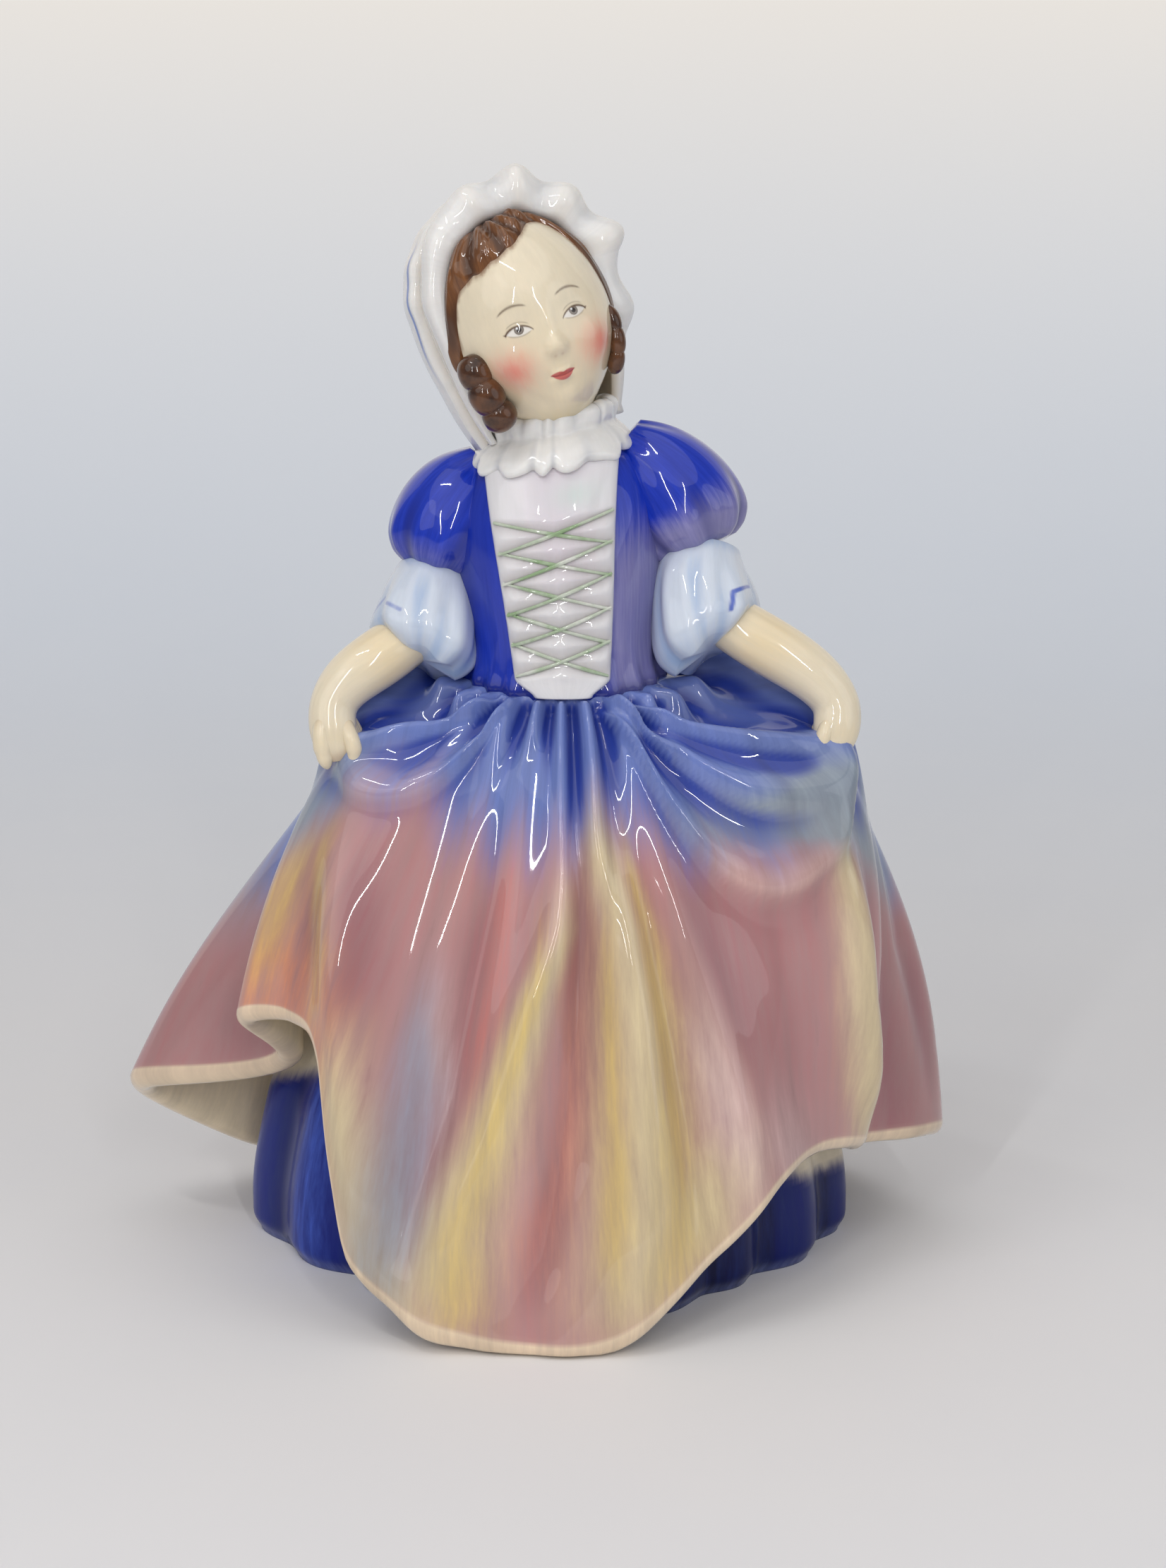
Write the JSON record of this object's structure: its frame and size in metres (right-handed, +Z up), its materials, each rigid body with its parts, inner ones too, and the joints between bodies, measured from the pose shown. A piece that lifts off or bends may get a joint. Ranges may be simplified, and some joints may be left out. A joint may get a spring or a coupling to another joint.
{
  "type": "figurine",
  "caption": "Bone china figurine of a girl in a frilled bonnet holding out a draped overskirt; free-standing ornament with a flat foot ring.",
  "frame": {"origin": "on the table under the middle of the figure's outline", "axes": "+Z up, the figure faces -Y, the viewer's right is +X"},
  "size_m": [0.0928, 0.0708, 0.1197],
  "materials": {
    "bisque": "unglazed fired clay",
    "deep_blue_glaze": "glossy painted glaze",
    "rose_glaze": "glossy painted glaze",
    "blue_glaze": "glossy painted glaze",
    "white_glaze": "glossy clear glaze on white china",
    "pale_glaze": "glossy clear glaze on white china",
    "green_enamel": "painted enamel",
    "flesh_glaze": "glossy clear glaze on tinted china",
    "brown_enamel": "painted enamel"
  },
  "bodies": {
    "root": {"base_slab": "bisque", "petticoat": "deep_blue_glaze", "overskirt": "rose_glaze", "bodice": "blue_glaze", "stomacher": "white_glaze", "lacing": "green_enamel", "collar_frill": "white_glaze", "left_sleeve": "blue_glaze", "right_sleeve": "blue_glaze", "left_cuff": "pale_glaze", "right_cuff": "pale_glaze", "left_arm": "flesh_glaze", "right_arm": "flesh_glaze", "head": "flesh_glaze", "hair_fringe": "brown_enamel", "left_ringlets": "brown_enamel", "right_ringlet": "brown_enamel", "bonnet": "white_glaze", "bonnet_frill": "white_glaze"}
  },
  "joints": []
}
